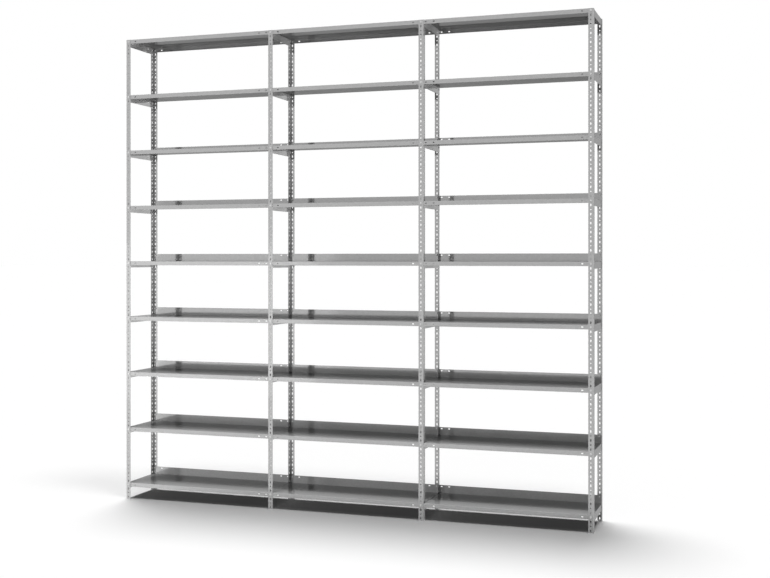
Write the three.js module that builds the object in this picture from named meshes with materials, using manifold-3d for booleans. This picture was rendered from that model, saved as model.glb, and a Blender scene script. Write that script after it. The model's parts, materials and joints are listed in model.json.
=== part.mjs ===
// Bolt-together archive shelving: a row of bays of folded steel shelf trays on
// perforated angle uprights. Millimetres, +Z up, front face towards -Y, origin on
// the floor under the middle of the row.

import * as THREE from 'three';
import { mergeGeometries, mergeVertices } from 'three/addons/utils/BufferGeometryUtils.js';
import Module from 'manifold-3d';

// The row. SEAT_GAP is left between pieces that are bolted face to face.
const BAYS = 3;
const LEVELS = 9;
const ROW_DEPTH = 300;
const SEAT_GAP = 0.3;

// The perforation. Each module of an upright holds one tall slot and one bolt hole.
const MODULE_LENGTH = 50;
const MODULES_PER_LEVEL = 7;
const MODULES_BELOW_SHELVES = 1;
const SLOT_CENTRE_SHARE = 0.25;
const BOLT_CENTRE_SHARE = 0.75;
const SLOT_WIDTH = 7.5;
const SLOT_LENGTH = 14;

// The uprights: equal angles folded from sheet, with one line of holes.
const UPRIGHT_SHEET = 2;
const UPRIGHT_FLANGE = 30;
const UPRIGHT_INNER_FOLD = 0.5;
const UPRIGHT_FOLD_STEPS = 3;
const HOLE_LINE = 16;

// The shelf trays: a front lip with a turned-in hem, side lips and a rear upstand.
const SHELF_LENGTH = 990;
const SHELF_SHEET = 1;
const FRONT_LIP = 25;
const LIP_HEM = 9;
const SIDE_LIP = 40;
const CORNER_RELIEF = 2;
const LIP_BOLT_DROP = 12.5;
const UPSTAND_MARGIN = 9.5;

// The bolts: a hexagon head outside the upright and a square neck through the shelf.
const BOLT_NECK = 6;
const BOLT_HOLE = 7;
const BOLT_HEAD_FLATS = 10;
const BOLT_HEAD_HEIGHT = 4;
const BOLT_TAIL = 7;
const HEX_SIDES = 6;

// How far a cutter runs past the faces that it cuts.
const CUT_OVERRUN = 1;

// Sizes that follow from the ones above.
const BAY_STEP = SHELF_LENGTH + 2 * SEAT_GAP + UPRIGHT_SHEET;
const LEVEL_STEP = MODULES_PER_LEVEL * MODULE_LENGTH;
const FIRST_BOLT_LINE = (MODULES_BELOW_SHELVES + BOLT_CENTRE_SHARE) * MODULE_LENGTH;
const UPRIGHT_HEIGHT = FIRST_BOLT_LINE + (LEVELS - 1) * LEVEL_STEP + LIP_BOLT_DROP;
const SHELF_REAR = ROW_DEPTH / 2 - UPRIGHT_SHEET - SEAT_GAP;
const SHELF_FRONT = -SHELF_REAR;
const SHELF_END = SHELF_LENGTH / 2;
const UPSTAND_BOLT_RISE = MODULE_LENGTH - LIP_BOLT_DROP;
const UPSTAND_HEIGHT = UPSTAND_BOLT_RISE + UPSTAND_MARGIN;

const uprightSteel = new THREE.MeshStandardMaterial({
  color: 0xc3c6c8, metalness: 0.9, roughness: 0.34,
});
const shelfSteel = new THREE.MeshStandardMaterial({
  color: 0xb9bcbf, metalness: 0.9, roughness: 0.28,
});

const wasm = await Module();
wasm.setup();

// A closed geometry as a solid that can be joined and cut.
function toSolid(geometry) {
  const bare = geometry.clone();
  bare.deleteAttribute('normal');
  bare.deleteAttribute('uv');
  const welded = mergeVertices(bare);
  return new wasm.Manifold(new wasm.Mesh({
    numProp: 3,
    vertProperties: new Float32Array(welded.attributes.position.array),
    triVerts: new Uint32Array(welded.index.array),
  }));
}

// A solid as a geometry again.
function toGeometry(solid) {
  const mesh = solid.getMesh();
  const geometry = new THREE.BufferGeometry();
  geometry.setAttribute('position', new THREE.BufferAttribute(mesh.vertProperties, mesh.numProp));
  geometry.setIndex(new THREE.BufferAttribute(mesh.triVerts, 1));
  geometry.computeVertexNormals();
  return geometry;
}

// A box given by two opposite corners.
function boxBetween(first, second) {
  const size = second.map((value, axis) => Math.abs(value - first[axis]));
  const centre = second.map((value, axis) => (value + first[axis]) / 2);
  return new THREE.BoxGeometry(...size).translate(...centre);
}

// A cutter that passes along Y through a sheet, from nearFace to farFace.
function cutterThrough(nearFace, farFace, x, z, width, height) {
  const past = Math.sign(farFace - nearFace) * CUT_OVERRUN;
  return boxBetween(
    [x - width / 2, nearFace - past, z - height / 2],
    [x + width / 2, farFace + past, z + height / 2],
  );
}

// Height of the front bolts of a level above the floor, level 0 being the lowest.
function frontBoltLine(level) {
  return FIRST_BOLT_LINE + level * LEVEL_STEP;
}

// Rear bolts pass through the upstand, one module higher, but through a lip on the top shelf.
function rearBoltLine(level) {
  return frontBoltLine(level) + (level < LEVELS - 1 ? MODULE_LENGTH : 0);
}

// Section of an angle, its outer corner at the origin and its flanges towards sideX and sideY.
function angleSection(sideX, sideY) {
  const outerFold = UPRIGHT_INNER_FOLD + UPRIGHT_SHEET;
  const points = [
    [UPRIGHT_FLANGE, 0],
    [UPRIGHT_FLANGE, UPRIGHT_SHEET],
  ];
  const addFold = (radius, direction) => {
    for (let step = 0; step <= UPRIGHT_FOLD_STEPS; step += 1) {
      const turn = (Math.PI / 2) * (step / UPRIGHT_FOLD_STEPS);
      const angle = direction > 0 ? turn : Math.PI / 2 - turn;
      points.push([outerFold - radius * Math.sin(angle), outerFold - radius * Math.cos(angle)]);
    }
  };
  addFold(UPRIGHT_INNER_FOLD, 1);
  points.push([UPRIGHT_SHEET, UPRIGHT_FLANGE], [0, UPRIGHT_FLANGE]);
  addFold(outerFold, -1);
  return new THREE.Shape(points.map(([x, y]) => new THREE.Vector2(sideX * x, sideY * y)));
}

// A bolt through a sheet whose outer face is at the origin: the head outside the sheet
// and the neck inside, both starting halfway through it.
function boltSolids(sideY) {
  const radius = BOLT_HEAD_FLATS / Math.sqrt(3);
  const corners = Array.from({ length: HEX_SIDES }, (_, index) => {
    const angle = (2 * Math.PI * index) / HEX_SIDES;
    return new THREE.Vector2(radius * Math.cos(angle), radius * Math.sin(angle));
  });
  const middle = (sideY * UPRIGHT_SHEET) / 2;
  const head = new THREE.ExtrudeGeometry(new THREE.Shape(corners), {
    depth: UPRIGHT_SHEET / 2 + BOLT_HEAD_HEIGHT,
    bevelEnabled: false,
  });
  head.rotateX((sideY * Math.PI) / 2).translate(0, middle, 0);
  const neckEnd = sideY * (UPRIGHT_SHEET + SEAT_GAP + SHELF_SHEET + BOLT_TAIL);
  const neck = boxBetween(
    [-BOLT_NECK / 2, middle, -BOLT_NECK / 2],
    [BOLT_NECK / 2, neckEnd, BOLT_NECK / 2],
  );
  return [toSolid(head), toSolid(neck)];
}

// An upright with a slot in every module of its face flange, and its bolts drawn up tight.
function uprightGeometry(sideX, sideY, boltLines) {
  const angle = new THREE.ExtrudeGeometry(angleSection(sideX, sideY), {
    depth: UPRIGHT_HEIGHT,
    bevelEnabled: false,
  });
  const holeX = sideX * HOLE_LINE;
  const slots = [];
  for (let index = 0; index < Math.floor(UPRIGHT_HEIGHT / MODULE_LENGTH); index += 1) {
    const z = (index + SLOT_CENTRE_SHARE) * MODULE_LENGTH;
    slots.push(cutterThrough(0, sideY * UPRIGHT_SHEET, holeX, z, SLOT_WIDTH, SLOT_LENGTH));
  }
  const perforated = toSolid(angle).subtract(toSolid(mergeGeometries(slots)));
  const bolt = boltSolids(sideY);
  const bolts = boltLines.flatMap((z) => bolt.map((solid) => solid.translate([holeX, 0, z])));
  return toGeometry(wasm.Manifold.union([perforated, ...bolts]));
}

// The rear fold of a tray as (y, z) points: an upstand, or a lip with a hem on the top shelf.
const REAR_UPSTAND = [
  [SHELF_REAR - SHELF_SHEET, 0],
  [SHELF_REAR - SHELF_SHEET, UPSTAND_HEIGHT],
  [SHELF_REAR, UPSTAND_HEIGHT],
  [SHELF_REAR, -SHELF_SHEET],
];
const REAR_LIP = [
  [SHELF_REAR, 0],
  [SHELF_REAR, -FRONT_LIP],
  [SHELF_REAR - LIP_HEM, -FRONT_LIP],
  [SHELF_REAR - LIP_HEM, SHELF_SHEET - FRONT_LIP],
  [SHELF_REAR - SHELF_SHEET, SHELF_SHEET - FRONT_LIP],
  [SHELF_REAR - SHELF_SHEET, -SHELF_SHEET],
];

// Side view of a tray: the hem and front lip, the plate, and the rear fold.
function traySection(rearFold) {
  const points = [
    [SHELF_FRONT + LIP_HEM, -FRONT_LIP],
    [SHELF_FRONT, -FRONT_LIP],
    [SHELF_FRONT, 0],
    ...rearFold,
    [SHELF_FRONT + SHELF_SHEET, -SHELF_SHEET],
    [SHELF_FRONT + SHELF_SHEET, SHELF_SHEET - FRONT_LIP],
    [SHELF_FRONT + LIP_HEM, SHELF_SHEET - FRONT_LIP],
  ];
  return new THREE.Shape(points.map(([y, z]) => new THREE.Vector2(y, z)));
}

// A tray with its top surface at z = 0. boltSides has -1 for a bolted left end, 1 for a right.
function shelfGeometry(isTop, boltSides) {
  const section = traySection(isTop ? REAR_LIP : REAR_UPSTAND);
  const tray = new THREE.ExtrudeGeometry(section, { depth: SHELF_LENGTH, bevelEnabled: false });
  tray.translate(0, 0, -SHELF_END);
  // The section's (y, z) plane is stood up, and its run is laid along X.
  tray.applyMatrix4(new THREE.Matrix4().makeBasis(
    new THREE.Vector3(0, 1, 0),
    new THREE.Vector3(0, 0, 1),
    new THREE.Vector3(1, 0, 0),
  ));
  const sideLips = [-1, 1].map((side) => toSolid(boxBetween(
    [side * SHELF_END, SHELF_FRONT + CORNER_RELIEF, -SIDE_LIP],
    [side * (SHELF_END - SHELF_SHEET), SHELF_REAR - CORNER_RELIEF, -SHELF_SHEET / 2],
  )));
  const folded = toSolid(tray).add(sideLips[0]).add(sideLips[1]);
  const boltX = SHELF_END + SEAT_GAP + UPRIGHT_SHEET - HOLE_LINE;
  const rearZ = isTop ? -LIP_BOLT_DROP : UPSTAND_BOLT_RISE;
  const frontInside = SHELF_FRONT + SHELF_SHEET;
  const rearInside = SHELF_REAR - SHELF_SHEET;
  const cuts = boltSides.flatMap((side) => [
    cutterThrough(SHELF_FRONT, frontInside, side * boltX, -LIP_BOLT_DROP, BOLT_HOLE, BOLT_HOLE),
    cutterThrough(SHELF_REAR, rearInside, side * boltX, rearZ, BOLT_HOLE, BOLT_HOLE),
  ]);
  return toGeometry(folded.subtract(toSolid(mergeGeometries(cuts))));
}

// A frame is one front and one rear upright. Every face flange points to the row's middle.
const frames = Array.from({ length: BAYS + 1 }, (_, index) => {
  const outward = index < BAYS / 2 ? -1 : 1;
  return {
    number: index + 1,
    outward,
    cornerX: (index - BAYS / 2) * BAY_STEP + (outward * UPRIGHT_SHEET) / 2,
  };
});
const levels = Array.from({ length: LEVELS }, (_, level) => level);

const shelving = new THREE.Group();
shelving.name = 'archive_shelving';

function addPiece(name, geometry, material, x, y, z) {
  const piece = new THREE.Mesh(geometry, material);
  piece.name = name;
  piece.position.set(x, y, z);
  shelving.add(piece);
}

for (const { number, outward, cornerX } of frames) {
  const faces = [
    { place: 'front', sideY: 1, boltLines: levels.map(frontBoltLine) },
    { place: 'rear', sideY: -1, boltLines: levels.map(rearBoltLine) },
  ];
  for (const { place, sideY, boltLines } of faces) {
    addPiece(
      `upright_${place}_${number}`,
      uprightGeometry(-outward, sideY, boltLines),
      uprightSteel, cornerX, (-sideY * ROW_DEPTH) / 2, 0,
    );
  }
}

for (let bay = 0; bay < BAYS; bay += 1) {
  const boltSides = [-1, 1].filter((side) => frames[bay + (side + 1) / 2].outward === side);
  for (const level of levels) {
    addPiece(
      `shelf_bay${bay + 1}_level${level + 1}`,
      shelfGeometry(level === LEVELS - 1, boltSides),
      shelfSteel,
      (bay - (BAYS - 1) / 2) * BAY_STEP, 0, frontBoltLine(level) + LIP_BOLT_DROP,
    );
  }
}

export default shelving;
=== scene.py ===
"""Archive shelving unit: the looks of a bolt-together row of sheet steel shelving.

The uprights are perforated angles, the shelves folded trays, and hexagon bolts with nuts
hold them together. Lengths are in metres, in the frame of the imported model: X runs along
the row, Y from its front to its rear, and Z up.
"""

import sys

import json
import logging
import math
import random
from collections.abc import Callable, Iterator
from contextlib import contextmanager
from dataclasses import dataclass, field
from enum import Enum
from functools import cache

import bmesh
import bpy
from mathutils import Matrix, Vector

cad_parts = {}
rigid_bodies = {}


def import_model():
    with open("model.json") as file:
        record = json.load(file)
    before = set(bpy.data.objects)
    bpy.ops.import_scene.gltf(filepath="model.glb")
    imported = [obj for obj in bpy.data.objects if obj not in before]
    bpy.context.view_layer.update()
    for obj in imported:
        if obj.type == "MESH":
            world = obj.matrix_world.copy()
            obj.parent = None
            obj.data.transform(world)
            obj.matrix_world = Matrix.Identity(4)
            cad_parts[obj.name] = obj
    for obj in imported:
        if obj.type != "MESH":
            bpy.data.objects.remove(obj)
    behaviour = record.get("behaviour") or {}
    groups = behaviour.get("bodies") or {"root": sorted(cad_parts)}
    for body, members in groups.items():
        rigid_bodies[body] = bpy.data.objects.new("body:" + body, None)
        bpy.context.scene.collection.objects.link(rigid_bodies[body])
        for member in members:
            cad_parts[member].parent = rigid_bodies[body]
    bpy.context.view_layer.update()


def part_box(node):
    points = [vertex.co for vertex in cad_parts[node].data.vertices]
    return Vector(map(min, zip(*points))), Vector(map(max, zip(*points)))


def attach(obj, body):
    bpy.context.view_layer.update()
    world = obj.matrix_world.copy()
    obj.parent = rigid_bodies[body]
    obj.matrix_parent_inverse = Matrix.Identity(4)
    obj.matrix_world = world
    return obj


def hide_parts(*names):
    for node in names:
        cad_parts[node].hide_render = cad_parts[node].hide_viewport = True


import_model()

log = logging.getLogger("shelving")

MeshItem = bmesh.types.BMVert | bmesh.types.BMEdge
Input = bpy.types.NodeSocket | float
Triple = tuple[float, float, float]

ROOT_BODY = "root"
FLOOR_NAME = "floor"
BAYS = 3
LEVELS = 9
LEFT_FRAMES = 2
ROW_DEPTH = 0.300
ENDS = (-1, 1)

# Points nearer to each other than WELD become one. A point nearer to a plane than TOUCH is in it.
WELD = 1e-5
TOUCH = 1e-4
QUARTER_TURN = math.pi / 2
AXIS_TO_X = (0.0, QUARTER_TURN, 0.0)
AXIS_TO_Y = (QUARTER_TURN, 0.0, 0.0)
MATRIX_SIZE = 4
FOLD_STEPS = 4
ROUND_SIDES = 12
HEX_SIDES = 6
CELL_SIDES = 4
CUT_EDGE_SLOT = 1
BEHIND_THE_FACES = -1.0
SMOOTH_BELOW = math.radians(35)
BREAK_ABOVE = math.radians(60)
FLAT_FACES_FIRST = 100
HALF_A_BOUNCE = 0.5


class Element(Enum):
    """What is picked in edit mode, with the name of its list in a bmesh."""

    VERT = "verts"
    EDGE = "edges"


class Axis(Enum):
    """An axis of the frame, as its place in a vector."""

    X = 0
    Y = 1
    Z = 2


class RowFace(Enum):
    """The front or the rear of the row, as the sign of its Y."""

    FRONT = -1
    REAR = 1

    @property
    def word(self) -> str:
        """The side's word in the names of nodes and pieces."""
        return self.name.lower()


class RearFold(Enum):
    """Which way the rear edge of a tray is folded."""

    UPSTAND = "up"
    LIP = "down"


class Grain(Enum):
    """The way that the sheet was rolled, as the scale of the marks along X, Y and Z."""

    ALONG_X = (1.5, 90.0, 90.0)
    ALONG_Z = (90.0, 90.0, 1.5)
    NONE = (40.0, 40.0, 40.0)


class Graph:
    """A node tree that is filled one node at a time."""

    def __init__(self, tree: bpy.types.NodeTree) -> None:
        """Empties the tree."""
        self.tree = tree
        tree.nodes.clear()

    def add(self, kind: str, settings: dict | None = None, **inputs) -> bpy.types.Node:
        """Adds a node.

        Args:
            kind: The node's type, without the leading ShaderNode.
            settings: Properties of the node itself.
            **inputs: Values or output sockets for its inputs. An input goes by its name, with
                _ for a space, or by its number, as in _0.

        Returns:
            The new node.
        """
        node = self.tree.nodes.new("ShaderNode" + kind)
        for name, value in (settings or {}).items():
            setattr(node, name, value)
        for name, value in inputs.items():
            key = int(name[1:]) if name[1:].isdigit() else name.replace("_", " ")
            if isinstance(value, bpy.types.NodeSocket):
                self.tree.links.new(value, node.inputs[key])
            else:
                node.inputs[key].default_value = value
        return node

    def combine(self, operation: str, first: Input, second: Input) -> bpy.types.NodeSocket:
        """Works one value out of two.

        Args:
            operation: What a Math node does with them.
            first: A number or the socket that holds it.
            second: The other one.

        Returns:
            The socket that holds the result.
        """
        return self.add("Math", {"operation": operation}, _0=first, _1=second).outputs[0]

    def spread(self, value: bpy.types.NodeSocket, low: float, high: float) -> bpy.types.NodeSocket:
        """Spreads a value from 0 to 1 between two limits.

        Args:
            value: The value to spread.
            low: The result at 0.
            high: The result at 1.

        Returns:
            The socket that holds the result.
        """
        return self.add("MapRange", Value=value, To_Min=low, To_Max=high).outputs[0]

    def vary(self, value: bpy.types.NodeSocket, middle: float, depth: float) -> bpy.types.NodeSocket:
        """Spreads a value from 0 to 1 as far below a middle as above it.

        Args:
            value: The value to spread.
            middle: The result at one half.
            depth: How far the result goes to either side.

        Returns:
            The socket that holds the result.
        """
        return self.spread(value, middle - depth, middle + depth)


def grey(value: float) -> tuple[float, float, float, float]:
    """A neutral colour of that linear value."""
    return (value, value, value, 1.0)


@dataclass(frozen=True)
class SteelFinish:
    """Bright zinc-coated sheet, with rolling marks, faint spangle and uneven sheen."""

    name: str
    tone: float = 0.55
    metallic: float = 0.5
    roughness: float = 0.075
    sheen_spread: float = 0.02
    edge_tint: float = 0.41
    grain: Grain = Grain.ALONG_X
    mark_scale: float = 6.0
    mark_detail: float = 4.0
    mark_roughness: float = 0.6
    mark_depth: float = 0.05
    spangle_scale: float = 120.0
    spangle_depth: float = 0.04
    cloud_scale: float = 3.5
    cloud_detail: float = 3.0
    bump: float = 0.05
    bump_distance: float = 0.0002

    @cache
    def build(self) -> bpy.types.Material:
        """Makes the material, the first time that it is asked for.

        Returns:
            A procedural material on Object coordinates.
        """
        material = bpy.data.materials.new(self.name)
        material.use_nodes = True
        graph = Graph(material.node_tree)
        place = graph.add("TexCoord").outputs["Object"]
        along = graph.add("Mapping", Vector=place, Scale=self.grain.value).outputs[0]
        marks = graph.add(
            "TexNoise",
            Vector=along, Scale=self.mark_scale, Detail=self.mark_detail, Roughness=self.mark_roughness,
        ).outputs["Fac"]
        cells = graph.add("TexVoronoi", Vector=place, Scale=self.spangle_scale).outputs["Color"]
        cell_value = graph.add("SeparateColor", Color=cells).outputs[0]
        cloud = graph.add(
            "TexNoise", Vector=place, Scale=self.cloud_scale, Detail=self.cloud_detail,
        ).outputs["Fac"]
        mark_shade = graph.vary(marks, 1.0, self.mark_depth)
        cell_shade = graph.vary(cell_value, 1.0, self.spangle_depth)
        shade = graph.combine("MULTIPLY", mark_shade, cell_shade)
        colour = graph.add("VectorMath", {"operation": "SCALE"}, _0=grey(self.tone)[:3], Scale=shade)
        uneven = graph.combine("ADD", marks, cell_value)
        relief = graph.add("Bump", Height=uneven, Strength=self.bump, Distance=self.bump_distance)
        shader = graph.add(
            "BsdfPrincipled",
            Base_Color=colour.outputs[0],
            Metallic=self.metallic,
            Roughness=graph.vary(cloud, self.roughness, self.sheen_spread),
            Normal=relief.outputs[0],
            Specular_Tint=grey(self.edge_tint),
            Specular_IOR_Level=0.0,
        )
        graph.add("OutputMaterial", Surface=shader.outputs[0])
        return material


UPRIGHT_STEEL = SteelFinish("upright_steel", tone=0.56, grain=Grain.ALONG_Z)
SHELF_STEEL = SteelFinish("shelf_steel", grain=Grain.ALONG_X)
CUT_EDGE = SteelFinish("cut_edge", tone=0.5, metallic=0.6, roughness=0.4, grain=Grain.NONE)
BOLT_ZINC = SteelFinish("bolt_zinc", tone=0.8, roughness=0.25, grain=Grain.NONE, spangle_depth=0.02)


def deselect_everything() -> None:
    """Leaves no object selected, so that an operator acts only on what is picked next."""
    for thing in bpy.context.view_layer.objects:
        thing.select_set(False)


def make_active(thing: bpy.types.Object) -> None:
    """Selects one object alone and makes it the active one.

    Args:
        thing: The object.
    """
    deselect_everything()
    thing.select_set(True)
    bpy.context.view_layer.objects.active = thing


@contextmanager
def editing(thing: bpy.types.Object) -> Iterator[None]:
    """Edit mode on one object, entered with nothing picked.

    Args:
        thing: The object to edit.
    """
    make_active(thing)
    bpy.ops.object.mode_set(mode="EDIT")
    bpy.ops.mesh.select_mode(type="VERT")
    bpy.ops.mesh.select_all(action="DESELECT")
    yield
    bpy.ops.object.mode_set(mode="OBJECT")


def pick(element: Element, wanted: Callable[[MeshItem], bool]) -> None:
    """Picks, in edit mode, the elements that pass a test, and no others.

    Args:
        element: Whether vertices or edges are picked.
        wanted: The test that each of them is put to.
    """
    bpy.ops.mesh.select_mode(type=element.name)
    bpy.ops.mesh.select_all(action="DESELECT")
    mesh = bpy.context.edit_object.data
    shape = bmesh.from_edit_mesh(mesh)
    for item in getattr(shape, element.value):
        if wanted(item):
            item.select_set(True)
    bmesh.update_edit_mesh(mesh)


def pick_edges_at(axis: Axis, place: float, within: Callable[[Vector], bool] | None = None) -> None:
    """Picks the edges that lie in a plane square to an axis.

    Args:
        axis: The axis.
        place: Where the plane crosses it.
        within: A further test of both ends of an edge.
    """
    def holds(end: Vector) -> bool:
        """Tells whether one end is in the plane and passes the further test."""
        return abs(end[axis.value] - place) < TOUCH and (within is None or within(end))

    pick(Element.EDGE, lambda edge: all(holds(vertex.co) for vertex in edge.verts))


def is_level_with_plate(end: Vector) -> bool:
    """Tells whether a point of a tray's skin is at the height of its plate."""
    return abs(end.z) < TOUCH


def fold(centre: Triple, axis: Triple) -> None:
    """Rolls the picked edges a quarter turn round a fold line, which leaves the far edge picked.

    Args:
        centre: A point on the fold's axis.
        axis: The direction of that axis. The turn is clockwise when seen from its tip.
    """
    bpy.ops.mesh.spin(steps=FOLD_STEPS, angle=QUARTER_TURN, center=centre, axis=axis)


def run_on(step: Triple) -> None:
    """Carries the picked edges on by a flat stretch of sheet.

    Args:
        step: How far and which way the sheet runs.
    """
    bpy.ops.mesh.extrude_region_move(TRANSFORM_OT_translate={"value": step})


def weld_skin() -> None:
    """Merges, in edit mode, the stretches of a skin, and points all its faces to one side."""
    bpy.ops.mesh.select_all(action="SELECT")
    bpy.ops.mesh.remove_doubles(threshold=WELD)
    bpy.ops.mesh.normals_make_consistent(inside=False)


def settle(thing: bpy.types.Object) -> None:
    """Puts an object's place and turn in its mesh, which leaves the object at the origin."""
    thing.data.transform(thing.matrix_world)
    thing.matrix_world = Matrix()


def use_modifier(thing: bpy.types.Object, kind: str, **settings) -> None:
    """Adds a modifier and applies it.

    Args:
        thing: The object that is changed.
        kind: The modifier's type.
        **settings: The modifier's properties.
    """
    make_active(thing)
    modifier = thing.modifiers.new(kind.title(), kind)
    for name, value in settings.items():
        setattr(modifier, name, value)
    bpy.ops.object.modifier_apply(modifier=modifier.name)


def thicken(thing: bpy.types.Object, sheet: float, finish: SteelFinish) -> None:
    """Gives a skin the thickness of its sheet, behind its faces, with cut edges of their own.

    Args:
        thing: The object whose faces are the outer skin.
        sheet: The thickness.
        finish: The finish of both sides of the sheet.
    """
    for layer in (finish, CUT_EDGE):
        thing.data.materials.append(layer.build())
    use_modifier(
        thing, "SOLIDIFY",
        thickness=sheet, offset=BEHIND_THE_FACES, use_even_offset=True,
        use_rim=True, material_offset_rim=CUT_EDGE_SLOT,
    )


def smooth_folds(thing: bpy.types.Object) -> None:
    """Shades folds and hole walls smooth, and keeps flats flat.

    Args:
        thing: The piece.
    """
    make_active(thing)
    bpy.ops.object.shade_smooth_by_angle(angle=SMOOTH_BELOW)
    use_modifier(thing, "WEIGHTED_NORMAL", keep_sharp=True, weight=FLAT_FACES_FIRST)


def turned(angle: float, axis: Axis) -> Matrix:
    """A rotation round an axis of the frame."""
    return Matrix.Rotation(angle, MATRIX_SIZE, axis.name)


def twin(thing: bpy.types.Object, name: str, place: Matrix) -> bpy.types.Object:
    """Copies a blank, with a mesh of its own, to a place.

    Args:
        thing: The blank.
        name: The copy's name.
        place: Where the copy goes. A mirroring place turns the faces round again.

    Returns:
        The copy, whose object stays at the origin.
    """
    copy = bpy.data.objects.new(name, thing.data.copy())
    copy.data.name = name
    bpy.context.scene.collection.objects.link(copy)
    copy.data.transform(place)
    if place.determinant() < 0:
        copy.data.flip_normals()
    return copy


def joined(parts: list[bpy.types.Object], name: str) -> bpy.types.Object:
    """Joins several solids as the separate bodies of one piece.

    Args:
        parts: The solids.
        name: The piece's name.

    Returns:
        The piece.
    """
    make_active(parts[0])
    for part in parts:
        part.select_set(True)
    bpy.ops.object.join()
    parts[0].name = name
    parts[0].data.name = name
    return parts[0]


def discard(thing: bpy.types.Object) -> None:
    """Deletes a blank that isn't part of the object."""
    bpy.data.objects.remove(thing)


def hand_over(thing: bpy.types.Object, slot: str, *nodes: str) -> None:
    """Puts a finished piece on its body.

    Args:
        thing: The piece.
        slot: The record's material slot. It is not used.
        *nodes: The nodes that the piece stands for.
    """
    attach(thing, ROOT_BODY)
    if nodes:
        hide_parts(*nodes)
    log.info("%s: %d faces", thing.name, len(thing.data.polygons))


@dataclass(frozen=True)
class Perforation:
    """One module of an upright: a tall slot in its lower half, a round hole in its upper."""

    module: float = 0.050
    line: float = 0.016
    slot_width: float = 0.0075
    slot_length: float = 0.014
    round_width: float = 0.007
    sides: int = ROUND_SIDES

    def punch(self, low: Vector, high: Vector, width: float, length: float) -> None:
        """Adds, in edit mode, a flat cell in the XZ plane with a hole in it.

        Args:
            low: The cell's lowest corner.
            high: Its highest corner.
            width: The hole's width along X.
            length: Its length along Z, which is the width again for a round hole.
        """
        middle, size = (low + high) / 2, high - low
        steps = self.sides // CELL_SIDES
        bpy.ops.mesh.select_all(action="DESELECT")
        bpy.ops.mesh.primitive_grid_add(
            x_subdivisions=steps, y_subdivisions=steps, size=1.0, location=middle, rotation=AXIS_TO_Y,
        )
        bpy.ops.transform.resize(value=(size.x, 1.0, size.z), center_override=middle)
        self._clear_inside(low, high)
        half_step = math.pi / self.sides
        bpy.ops.mesh.primitive_circle_add(
            vertices=self.sides, radius=width / 2 / math.cos(half_step),
            location=(self.line, 0.0, middle.z), rotation=(QUARTER_TURN, half_step, 0.0),
        )
        stretch = (length - width) / 2
        for sign in ENDS:
            pick(Element.VERT, lambda v: not v.link_faces and self._in_hole(v, middle, width, sign))
            bpy.ops.transform.translate(value=(0.0, 0.0, sign * stretch))
        pick(Element.EDGE, lambda e: not e.link_faces)
        bpy.ops.mesh.bridge_edge_loops()

    def _in_hole(self, vertex: bmesh.types.BMVert, middle: Vector, width: float, sign: int) -> bool:
        """Tells whether a vertex is on the upper (1) or lower (-1) half of a new hole."""
        near = Vector((vertex.co.x - self.line, vertex.co.z - middle.z)).length < width
        return near and (vertex.co.z - middle.z) * sign > 0

    @staticmethod
    def _clear_inside(low: Vector, high: Vector) -> None:
        """Deletes what a new cell has inside its outline.

        Args:
            low: The cell's lowest corner.
            high: Its highest corner.
        """
        def inside(vertex: bmesh.types.BMVert) -> bool:
            """Tells whether a vertex is clear of all four sides."""
            at = vertex.co
            return low.x + TOUCH < at.x < high.x - TOUCH and low.z + TOUCH < at.z < high.z - TOUCH

        pick(Element.VERT, inside)
        bpy.ops.mesh.delete(type="VERT")


@dataclass
class UprightBlank:
    """A perforated angle, corner at the origin, flanges along +X and +Y, as long as the frame."""

    height: float
    flange: float = 0.030
    sheet: float = 0.002
    outer_fold: float = 0.0025
    edge_break: float = 0.0002
    holes: Perforation = field(default_factory=Perforation)

    def build(self) -> bpy.types.Object:
        """Models one module in a primitive that was emptied, and repeats it.

        Returns:
            The blank.
        """
        bpy.ops.mesh.primitive_plane_add(size=self.sheet)
        blank = bpy.context.object
        blank.name = "upright_blank"
        with editing(blank):
            bpy.ops.mesh.select_all(action="SELECT")
            bpy.ops.mesh.delete(type="VERT")
            self._face_flange()
            self._side_flange()
            self._rolled_corner()
            weld_skin()
        self._face_outwards(blank)
        use_modifier(
            blank, "ARRAY",
            count=round(self.height / self.holes.module),
            use_relative_offset=False, use_constant_offset=True,
            constant_offset_displace=(0.0, 0.0, self.holes.module),
            use_merge_vertices=True, merge_threshold=WELD,
        )
        thicken(blank, self.sheet, UPRIGHT_STEEL)
        use_modifier(
            blank, "BEVEL",
            width=self.edge_break, segments=1, limit_method="ANGLE", angle_limit=BREAK_ABOVE,
        )
        return blank

    def _face_flange(self) -> None:
        """Punches the slot and the round hole of one module in the flange along X."""
        holes, half = self.holes, self.holes.module / 2
        sizes = ((holes.slot_width, holes.slot_length), (holes.round_width, holes.round_width))
        for index, (width, length) in enumerate(sizes):
            low = Vector((self.outer_fold, 0.0, index * half))
            high = Vector((self.flange, 0.0, (index + 1) * half))
            holes.punch(low, high, width, length)

    def _side_flange(self) -> None:
        """Copies the flange along X to the one along Y."""
        bpy.ops.mesh.select_all(action="SELECT")
        bpy.ops.mesh.duplicate()
        bpy.ops.transform.rotate(value=-QUARTER_TURN, orient_axis="Z", center_override=(0.0, 0.0, 0.0))

    def _rolled_corner(self) -> None:
        """Rolls the corner from the inner edge of the flange along X."""
        pick_edges_at(Axis.X, self.outer_fold, lambda end: abs(end.y) < TOUCH)
        fold((self.outer_fold, self.outer_fold, 0.0), (0.0, 0.0, 1.0))

    @staticmethod
    def _face_outwards(blank: bpy.types.Object) -> None:
        """Turns the skin so that the flange along X faces -Y.

        Args:
            blank: The blank.
        """
        flat = next(p for p in blank.data.polygons if abs(p.center.y) < TOUCH)
        if flat.normal.y > 0:
            blank.data.flip_normals()


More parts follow.
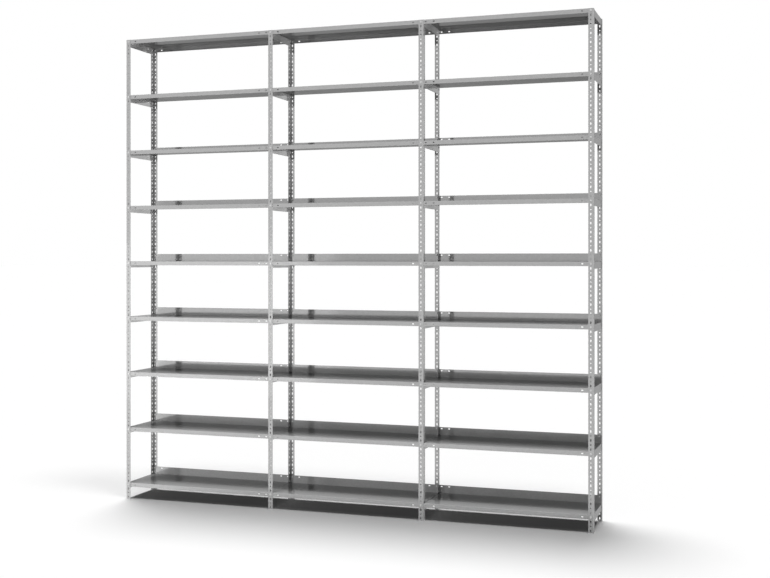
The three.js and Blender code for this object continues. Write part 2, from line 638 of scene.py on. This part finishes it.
@dataclass(frozen=True)
class BoltPattern:
    """Where the bolts of a level sit, measured from the upright's corner and the shelf top."""

    first_from_corner: float = 0.016
    second_from_corner: float = 0.064
    lip_drop: float = 0.0125
    upstand_rise: float = 0.0375
    hole: float = 0.007
    slot: float = 0.012


@dataclass
class TrayBlank:
    """A folded shelf tray with its top at z 0, centred on the origin."""

    length: float
    front: float
    rear: float
    side_lip: float
    upstand: float
    corner_clearance: float
    rear_fold: RearFold
    ends_with_second_slot: tuple[int, ...]
    sheet: float = 0.001
    front_lip: float = 0.025
    hem: float = 0.009
    outer_fold: float = 0.0015
    relief: float = 0.002
    cutter_length: float = 0.004
    bolts: BoltPattern = field(default_factory=BoltPattern)

    @property
    def inner_fold(self) -> float:
        """The radius on the inside of a fold."""
        return self.outer_fold - self.sheet

    @property
    def end_tangent(self) -> float:
        """How far from the middle the plate ends and the fold of a side lip begins."""
        return self.length / 2 - self.outer_fold

    @property
    def rear_tangent(self) -> float:
        """Where the plate ends and its rear fold begins, whichever way that goes."""
        return self.rear - self.outer_fold

    @property
    def relief_cuts(self) -> tuple[float, float]:
        """Where the corner reliefs cut across the plate at its front and rear."""
        return (self.front + self.relief, self.rear - self.relief)

    def build(self) -> bpy.types.Object:
        """Folds the tray, gives it its thickness and punches its holes.

        Returns:
            The blank.
        """
        blank = self._plate()
        with editing(blank):
            self._side_lips()
            self._corner_tabs()
            self._lip(self.front, RowFace.FRONT)
            if self.rear_fold is RearFold.UPSTAND:
                self._rear_upstand()
            else:
                self._lip(self.rear, RowFace.REAR)
            weld_skin()
        plate = max(blank.data.polygons, key=lambda p: p.area)
        if plate.normal.z < 0:
            blank.data.flip_normals()
        thicken(blank, self.sheet, SHELF_STEEL)
        self._punch(blank)
        return blank

    def _plate(self) -> bpy.types.Object:
        """Adds the flat plate between the folds, split at the corner reliefs.

        Returns:
            The plate.
        """
        low, high = self.front + self.outer_fold, self.rear_tangent
        bpy.ops.mesh.primitive_plane_add(size=1.0, location=(0.0, (low + high) / 2, 0.0))
        blank = bpy.context.object
        blank.name = "tray_blank"
        with editing(blank):
            bpy.ops.mesh.select_all(action="SELECT")
            bpy.ops.transform.resize(value=(2 * self.end_tangent, high - low, 1.0))
            for cut in self.relief_cuts:
                bpy.ops.mesh.select_all(action="SELECT")
                bpy.ops.mesh.bisect(plane_co=(0.0, cut, 0.0), plane_no=(0.0, 1.0, 0.0))
        settle(blank)
        return blank

    def _between_reliefs(self, end: Vector) -> bool:
        """Tells whether a point lies where the side lips are."""
        low, high = self.relief_cuts
        return low - TOUCH < end.y < high + TOUCH

    def _side_lips(self) -> None:
        """Folds the lips at both ends down."""
        for sign in ENDS:
            tangent = sign * self.end_tangent
            pick_edges_at(Axis.X, tangent, self._between_reliefs)
            fold((tangent, 0.0, -self.outer_fold), (0.0, -float(sign), 0.0))
            run_on((0.0, 0.0, self.outer_fold - self.side_lip))

    def _corner_tabs(self) -> None:
        """Carries the plate's narrow ends past the reliefs, flat, to the full length."""
        for sign in ENDS:
            for cut, face in zip(self.relief_cuts, RowFace):
                pick_edges_at(
                    Axis.X, sign * self.end_tangent,
                    lambda end: is_level_with_plate(end) and (end.y - cut) * face.value > -TOUCH,
                )
                run_on((sign * self.outer_fold, 0.0, 0.0))

    def _lip(self, outside: float, face: RowFace) -> None:
        """Folds a lip down and its hem inwards.

        Args:
            outside: Where the lip's outer side is along Y.
            face: Whether it is the lip at the front or the rear.
        """
        tangent = outside - face.value * self.outer_fold
        axis = (float(face.value), 0.0, 0.0)
        pick_edges_at(Axis.Y, tangent, is_level_with_plate)
        fold((0.0, tangent, -self.outer_fold), axis)
        run_on((0.0, 0.0, 2 * self.outer_fold - self.front_lip))
        fold((0.0, tangent, self.outer_fold - self.front_lip), axis)
        run_on((0.0, face.value * (self.outer_fold - self.hem), 0.0))

    def _rear_upstand(self) -> None:
        """Folds the upstand at the rear up."""
        pick_edges_at(Axis.Y, self.rear_tangent, is_level_with_plate)
        fold((0.0, self.rear_tangent, self.inner_fold), (-1.0, 0.0, 0.0))
        run_on((0.0, 0.0, self.upstand - self.inner_fold))

    def _punch(self, blank: bpy.types.Object) -> None:
        """Cuts the bolt holes: slots at the front and rear, and round ones at the sides.

        Args:
            blank: The folded tray.
        """
        bolts = self.bolts
        rear_z = bolts.upstand_rise if self.rear_fold is RearFold.UPSTAND else -bolts.lip_drop
        tools = []
        for offset in (bolts.first_from_corner, bolts.second_from_corner):
            for sign in ENDS:
                x = sign * (self.length / 2 + self.corner_clearance - offset)
                y = sign * (self.rear + self.corner_clearance - offset)
                tools += [
                    self._lengthwise_cutter(Vector((x, self.front, -bolts.lip_drop))),
                    self._crosswise_cutter(Vector((self.length / 2, y, -bolts.lip_drop))),
                    self._crosswise_cutter(Vector((-self.length / 2, y, -bolts.lip_drop))),
                ]
                if offset == bolts.first_from_corner or sign in self.ends_with_second_slot:
                    tools.append(self._lengthwise_cutter(Vector((x, self.rear, rear_z))))
        tool = joined(tools, "hole_cutter")
        tool.data.materials.append(CUT_EDGE.build())
        use_modifier(
            blank, "BOOLEAN",
            operation="DIFFERENCE", object=tool, solver="EXACT", material_mode="TRANSFER",
        )
        discard(tool)

    def _lengthwise_cutter(self, place: Vector) -> bpy.types.Object:
        """Adds a cutter for a slot through the front or rear.

        Args:
            place: The slot's middle.

        Returns:
            The cutter.
        """
        cutter = self._round_cutter(place, AXIS_TO_Y)
        stretch = (self.bolts.slot - self.bolts.hole) / 2
        with editing(cutter):
            for sign in ENDS:
                pick(Element.VERT, lambda v: (v.co.x - place.x) * sign > 0)
                bpy.ops.transform.translate(value=(sign * stretch, 0.0, 0.0))
        return cutter

    def _crosswise_cutter(self, place: Vector) -> bpy.types.Object:
        """Adds a cutter for a round hole through a side lip."""
        return self._round_cutter(place, AXIS_TO_X)

    def _round_cutter(self, place: Vector, turn: Triple) -> bpy.types.Object:
        """Adds a cylinder that reaches through the sheet.

        Args:
            place: Its middle.
            turn: Its rotation from upright.

        Returns:
            The cylinder, whose object is at the origin.
        """
        bpy.ops.mesh.primitive_cylinder_add(
            vertices=ROUND_SIDES, radius=self.bolts.hole / 2, depth=self.cutter_length,
            location=place, rotation=turn,
        )
        cutter = bpy.context.object
        settle(cutter)
        return cutter


@dataclass(frozen=True)
class HexBolt:
    """A zinc bolt with a washer and a nut, its axis along Y and the sheet's face at y 0."""

    flats: float = 0.010
    head: float = 0.004
    washer: float = 0.0007
    washer_width: float = 0.0125
    shank_width: float = 0.006
    nut: float = 0.005
    tail: float = 0.007
    chamfer: float = 0.0006

    @property
    def corner_radius(self) -> float:
        """How far the corners of the hexagon are from its middle."""
        return self.flats / math.sqrt(3)

    def head_blank(self, grip: float) -> bpy.types.Object:
        """Models the head, washer and shank.

        Args:
            grip: The thickness of the sheets that the bolt holds.

        Returns:
            The blank, its head towards -Y.
        """
        washer = self._disc(ROUND_SIDES, self.washer_width / 2, -self.washer, 0.0)
        head = self._disc(HEX_SIDES, self.corner_radius, -self.head, -self.washer)
        self._chamfer(head, -self.head)
        shank = self._disc(ROUND_SIDES, self.shank_width / 2, 0.0, grip + self.tail)
        self._chamfer(shank, grip + self.tail)
        return joined([head, washer, shank], "bolt_blank")

    def nut_blank(self, grip: float) -> bpy.types.Object:
        """Models the nut behind the sheets.

        Args:
            grip: The thickness of the sheets.

        Returns:
            The blank.
        """
        nut = self._disc(HEX_SIDES, self.corner_radius, grip, grip + self.nut)
        self._chamfer(nut, grip + self.nut)
        nut.name = "nut_blank"
        return nut

    def _disc(self, sides: int, radius: float, low: float, high: float) -> bpy.types.Object:
        """Adds a prism along Y.

        Args:
            sides: How many sides it has.
            radius: How far its corners are from its axis.
            low: The Y of the end towards the front.
            high: The Y of the other end.

        Returns:
            The prism, whose object is at the origin.
        """
        bpy.ops.mesh.primitive_cylinder_add(
            vertices=sides, radius=radius, depth=high - low,
            location=(0.0, (low + high) / 2, 0.0), rotation=AXIS_TO_Y,
        )
        disc = bpy.context.object
        settle(disc)
        return disc

    def _chamfer(self, disc: bpy.types.Object, end: float) -> None:
        """Breaks the edges round one end of a prism.

        Args:
            disc: The prism.
            end: The Y of that end.
        """
        with editing(disc):
            pick_edges_at(Axis.Y, end)
            bpy.ops.mesh.bevel(offset=self.chamfer, segments=1, affect="EDGES")


@dataclass(frozen=True)
class UprightFrame:
    """A front and a rear upright. The number counts from the left."""

    number: int

    def node(self, face: RowFace) -> str:
        """The name of the node of one of its uprights."""
        return f"upright_{face.word}_{self.number}"

    @property
    def outward(self) -> int:
        """The end of the row that the corners of its angles point to, as the sign of X."""
        return -1 if self.number <= LEFT_FRAMES else 1

    @property
    def corner_x(self) -> float:
        """The outer face of its side flanges."""
        low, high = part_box(self.node(RowFace.FRONT))
        return low.x if self.outward < 0 else high.x


@dataclass
class Uprights:
    """The eight perforated angles."""

    frames: list[UprightFrame]
    depth: float = ROW_DEPTH

    def build(self) -> None:
        """Copies the blank to every corner."""
        low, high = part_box(self.frames[0].node(RowFace.FRONT))
        blank = UprightBlank(height=high.z - low.z).build()
        for stand in self.frames:
            for face in RowFace:
                place = Matrix.Translation((stand.corner_x, face.value * self.depth / 2, 0.0))
                mirror = Matrix.Diagonal((-stand.outward, -face.value, 1.0, 1.0))
                piece = twin(blank, f"angle_{face.word}_{stand.number}", place @ mirror)
                smooth_folds(piece)
                hand_over(piece, "upright_steel", stand.node(face))
        discard(blank)


@dataclass
class Trays:
    """The shelf trays of all bays and levels, both counted from 1."""

    bays: int = BAYS
    levels: int = LEVELS
    upright_clearance: float = 0.0023

    def node(self, bay: int, level: int) -> str:
        """The node of a tray."""
        return f"shelf_bay{bay}_level{level}"

    def top(self, bay: int, level: int) -> float:
        """The height of a tray's upper face."""
        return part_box(self.node(bay, level))[0].z + self.side_lip

    @property
    def side_lip(self) -> float:
        """How far the side lips reach down, from the top tray, which has no upstand."""
        low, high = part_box(self.node(1, self.levels))
        return high.z - low.z

    def build(self) -> None:
        """Folds the lowest, the middle and the top trays of each bay."""
        for bay in range(1, self.bays + 1):
            inner_ends = tuple(end for end in ENDS if 1 <= bay + end <= self.bays)
            slotted_ends = inner_ends if len(inner_ends) == 1 else ()
            self._fill(bay, range(1, 2), RearFold.UPSTAND, ENDS)
            self._fill(bay, range(2, self.levels), RearFold.UPSTAND, slotted_ends)
            self._fill(bay, range(self.levels, self.levels + 1), RearFold.LIP, ENDS)

    def _fill(self, bay: int, levels: range, rear_fold: RearFold, slotted_ends: tuple[int, ...]) -> None:
        """Folds one kind of tray for a bay and copies it.

        Args:
            bay: The bay.
            levels: The levels that it goes to.
            rear_fold: Which way its rear edge is folded.
            slotted_ends: The ends with a second slot at the rear, as signs of X.
        """
        low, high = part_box(self.node(bay, 1))
        blank = TrayBlank(
            length=high.x - low.x, front=low.y, rear=high.y,
            side_lip=self.side_lip, upstand=high.z - low.z - self.side_lip,
            corner_clearance=self.upright_clearance, rear_fold=rear_fold,
            ends_with_second_slot=slotted_ends,
        ).build()
        for level in levels:
            place = Matrix.Translation(((low.x + high.x) / 2, 0.0, self.top(bay, level)))
            piece = twin(blank, f"tray_bay{bay}_level{level}", place)
            smooth_folds(piece)
            hand_over(piece, "shelf_steel", self.node(bay, level))
        discard(blank)


@dataclass
class Bolts:
    """The bolts and nuts, one piece of each kind for each upright or middle frame."""

    frames: list[UprightFrame]
    trays: Trays
    depth: float = ROW_DEPTH
    bolt: HexBolt = field(default_factory=HexBolt)
    pattern: BoltPattern = field(default_factory=BoltPattern)
    face_grip: float = 0.0033
    joint_grip: float = 0.0046
    seed: int = 7

    def build(self) -> None:
        """Places the bolts of the faces, then those that join the bays."""
        draw = random.Random(self.seed)
        levels = range(1, self.trays.levels + 1)
        for stand in self.frames:
            for face in RowFace:
                places = [self._at_face(stand, face, level) for level in levels]
                self._group(places, self.face_grip, f"{face.word}_{stand.number}", draw)
        for stand in self.frames[1:-1]:
            places = [self._at_joint(stand, face, level) for level in levels for face in RowFace]
            self._group(places, self.joint_grip, f"joint_{stand.number}", draw)

    def _at_face(self, stand: UprightFrame, face: RowFace, level: int) -> Matrix:
        """Finds the bolt through an upright's face flange.

        Args:
            stand: The upright's frame.
            face: Whether it is the front or the rear upright.
            level: The level that the bolt holds.

        Returns:
            The bolt's place and turn.
        """
        x = stand.corner_x - stand.outward * self.pattern.first_from_corner
        z = self.trays.top(1, level) - self.pattern.lip_drop
        if face is RowFace.REAR and level < self.trays.levels:
            z = self.trays.top(1, level) + self.pattern.upstand_rise
        turn = Matrix() if face is RowFace.FRONT else turned(math.pi, Axis.Z)
        return Matrix.Translation((x, face.value * self.depth / 2, z)) @ turn

    def _at_joint(self, stand: UprightFrame, face: RowFace, level: int) -> Matrix:
        """Finds a bolt that passes through two side lips and the side flange between them.

        Args:
            stand: The frame that both trays are bolted to.
            face: Whether it is the front or the rear upright.
            level: The level of the trays.

        Returns:
            The bolt's place and turn.
        """
        y = face.value * (self.depth / 2 - self.pattern.first_from_corner)
        z = self.trays.top(1, level) - self.pattern.lip_drop
        lip_outside = self.trays.upright_clearance - UprightBlank.sheet + TrayBlank.sheet
        x = stand.corner_x + stand.outward * lip_outside
        return Matrix.Translation((x, y, z)) @ turned(stand.outward * QUARTER_TURN, Axis.Z)

    def _group(self, places: list[Matrix], grip: float, word: str, draw: random.Random) -> None:
        """Copies a bolt and its nut to each place and joins each kind in one piece.

        Args:
            places: The places.
            grip: The thickness of the sheets held.
            word: What ends the two pieces' names.
            draw: Where the turn of each bolt comes from.
        """
        kinds = {"bolts": self.bolt.head_blank(grip), "nuts": self.bolt.nut_blank(grip)}
        for kind, blank in kinds.items():
            blank.data.materials.clear()
            blank.data.materials.append(BOLT_ZINC.build())
            parts = []
            for index, place in enumerate(places):
                spin = turned(draw.uniform(0.0, math.tau), Axis.Y)
                parts.append(twin(blank, f"{kind}_{word}_{index}", place @ spin))
            piece = joined(parts, f"{kind}_{word}")
            smooth_folds(piece)
            hand_over(piece, "upright_steel")
            discard(blank)


class Lit(Enum):
    """What a lamp shines on, with the link state that the floor has for it."""

    FLOOR = "INCLUDE"
    UNIT = "EXCLUDE"


@dataclass(frozen=True)
class Lamp:
    """What all lamps have: a strength, and one side of the set that they shine on.

    The floor and the unit have lamps of their own, so that the soft shadow in front of the
    unit and the light on the trays can be set apart.
    """

    name: str
    energy: float
    lit: Lit

    def _place(self, kind: str, place: Vector, aim: Vector) -> bpy.types.Object:
        """Adds the lamp, out of sight.

        Args:
            kind: SUN or AREA.
            place: Where it stands.
            aim: The way that it looks.

        Returns:
            The lamp.
        """
        data = bpy.data.lights.new(self.name, kind)
        data.energy = self.energy
        lamp = bpy.data.objects.new(self.name, data)
        bpy.context.scene.collection.objects.link(lamp)
        lamp.location = place
        lamp.rotation_euler = aim.to_track_quat("-Z", "Y").to_euler()
        lamp.visible_camera = False
        lamp.light_linking.receiver_collection = self._linked("receivers")
        if self.lit is Lit.UNIT:
            lamp.light_linking.blocker_collection = self._linked("blockers")
        return lamp

    def _linked(self, role: str) -> bpy.types.Collection:
        """Makes a collection for one role, which has the floor alone or all but the floor in it.

        Args:
            role: The word that ends the collection's name.

        Returns:
            The collection.
        """
        linked = bpy.data.collections.new(f"{self.name}_{role}")
        linked.objects.link(bpy.data.objects[FLOOR_NAME])
        linked.collection_objects[0].light_linking.link_state = self.lit.value
        return linked


@dataclass(frozen=True)
class Sky(Lamp):
    """A round patch of light, far away, with its width in degrees."""

    towards: Triple
    spread: float

    def build(self) -> None:
        """Adds the lamp."""
        towards = Vector(self.towards)
        lamp = self._place("SUN", towards, -towards)
        lamp.data.angle = math.radians(self.spread)
        lamp.visible_glossy = False


@dataclass(frozen=True)
class Panel(Lamp):
    """A soft panel near the unit."""

    place: Triple
    target: Triple
    width: float
    height: float
    is_reflected: bool = False

    def build(self) -> None:
        """Adds the lamp."""
        place = Vector(self.place)
        lamp = self._place("AREA", place, Vector(self.target) - place)
        lamp.data.shape = "RECTANGLE"
        lamp.data.size = self.width
        lamp.data.size_y = self.height
        lamp.visible_glossy = self.is_reflected


LAMPS = (
    Sky("floor_over_rear", 2.27, Lit.FLOOR, towards=(-0.133, 0.155, 1.0), spread=18.3),
    Sky("floor_over_right", 0.55, Lit.FLOOR, towards=(0.3, -0.12, 1.0), spread=12.0),
    Sky("floor_over_middle", 0.34, Lit.FLOOR, towards=(0.1, -0.27, 1.0), spread=8.0),
    Sky("floor_over_front", 0.105, Lit.FLOOR, towards=(0.0, -0.45, 1.0), spread=45.0),
    Sky("unit_over_front", 1.1, Lit.UNIT, towards=(-0.12, -0.15, 1.0), spread=33.0),
    Sky("unit_over_further", 0.95, Lit.UNIT, towards=(-0.12, -0.32, 1.0), spread=25.0),
    Sky("unit_front", 0.36, Lit.UNIT, towards=(0.1, -1.0, 0.06), spread=16.0),
    Sky("unit_right", 2.0, Lit.UNIT, towards=(1.0, -0.1, -0.08), spread=8.0),
    Panel(
        "left", 33.0, Lit.UNIT,
        place=(-2.6, -4.8, 0.8), target=(-0.6, 0.0, 1.0), width=1.6, height=1.6,
    ),
    Panel(
        "left_low", 26.0, Lit.UNIT,
        place=(-2.4, -2.2, 0.3), target=(-0.6, 0.0, 0.6), width=0.6, height=0.6,
    ),
    Panel(
        "left_reflected", 7.0, Lit.UNIT,
        place=(-4.4, -5.0, 0.8), target=(-1.0, 0.0, 0.8), width=3.6, height=1.8, is_reflected=True,
    ),
)


@dataclass(frozen=True)
class Camera:
    """The camera that was fitted to the photograph.

    It stands level. Its focal length and the centre of its perspective are in pixels, its
    sensor in millimetres, and its turn from straight ahead in degrees.
    """

    image_width: int = 770
    image_height: int = 578
    focal: float = 1050.5
    centre_x: float = 467.6
    centre_y: float = 258.7
    sensor: float = 36.0
    place: Triple = (2.485, -5.900, 1.516)
    turn: float = 16.66

    def build(self) -> None:
        """Adds the camera."""
        data = bpy.data.cameras.new("camera")
        data.sensor_width = self.sensor
        data.lens = self.focal / self.image_width * self.sensor
        data.shift_x = (self.image_width / 2 - self.centre_x) / self.image_width
        data.shift_y = (self.centre_y - self.image_height / 2) / self.image_width
        camera = bpy.data.objects.new("camera", data)
        bpy.context.scene.collection.objects.link(camera)
        camera.location = self.place
        camera.rotation_euler = (QUARTER_TURN, 0.0, math.radians(self.turn))
        bpy.context.scene.camera = camera


@dataclass
class Studio:
    """The floor, the lamps, the white surroundings and the camera."""

    floor_size: float = 400.0
    floor_tone: float = 0.95
    floor_bounce: float = 0.02
    floor_glow: float = 0.03
    white: float = 1.0
    ambient: float = 0.015
    lamps: tuple[Sky | Panel, ...] = LAMPS
    camera: Camera = field(default_factory=Camera)

    def build(self) -> None:
        """Sets up everything that isn't the object."""
        self._floor()
        self._surroundings()
        for lamp in self.lamps:
            lamp.build()
        self.camera.build()
        bpy.context.scene.view_settings.view_transform = "Standard"

    @staticmethod
    def _seen(graph: Graph) -> bpy.types.NodeSocket:
        """Adds a value that is 1 for camera, glossy and transmission rays, and else 0.

        A ray that has already been scattered by a matt surface counts as light and not as sight.

        Args:
            graph: The tree that it goes into.

        Returns:
            The socket that holds the value.
        """
        path = graph.add("LightPath").outputs
        camera_or_glossy = graph.combine("MAXIMUM", path["Is Camera Ray"], path["Is Glossy Ray"])
        seen = graph.combine("MAXIMUM", camera_or_glossy, path["Is Transmission Ray"])
        unscattered = graph.combine("LESS_THAN", path["Diffuse Depth"], HALF_A_BOUNCE)
        return graph.combine("MULTIPLY", seen, unscattered)

    def _floor(self) -> None:
        """Adds a white floor that lights the object's undersides only a little."""
        deselect_everything()
        bpy.ops.mesh.primitive_plane_add(size=self.floor_size)
        floor = bpy.context.object
        floor.name = FLOOR_NAME
        material = bpy.data.materials.new("floor_white")
        material.use_nodes = True
        graph = Graph(material.node_tree)
        seen = self._seen(graph)
        matt = graph.add("BsdfDiffuse", Color=graph.spread(seen, self.floor_bounce, self.floor_tone))
        glow = graph.add("Emission", Strength=graph.spread(seen, 0.0, self.floor_glow))
        both = graph.add("AddShader", _0=matt.outputs[0], _1=glow.outputs[0])
        graph.add("OutputMaterial", Surface=both.outputs[0])
        floor.data.materials.append(material)

    def _surroundings(self) -> None:
        """Makes the world white to the eye and dim as a light."""
        world = bpy.data.worlds.new("surroundings")
        bpy.context.scene.world = world
        world.use_nodes = True
        graph = Graph(world.node_tree)
        dim = graph.add("Background", Color=grey(self.white), Strength=self.ambient)
        white = graph.add("Background", Color=grey(self.white), Strength=self.white)
        mixed = graph.add("MixShader", Fac=self._seen(graph), _1=dim.outputs[0], _2=white.outputs[0])
        graph.add("OutputWorld", Surface=mixed.outputs[0])


def main() -> None:
    """Builds the unit and the studio round it."""
    logging.basicConfig(level=logging.INFO, stream=sys.stdout, format="%(name)s: %(message)s")
    deselect_everything()
    frames = [UprightFrame(number) for number in range(1, BAYS + 2)]
    trays = Trays()
    Uprights(frames).build()
    trays.build()
    Bolts(frames, trays).build()
    Studio().build()


if __name__ == "__main__":
    main()
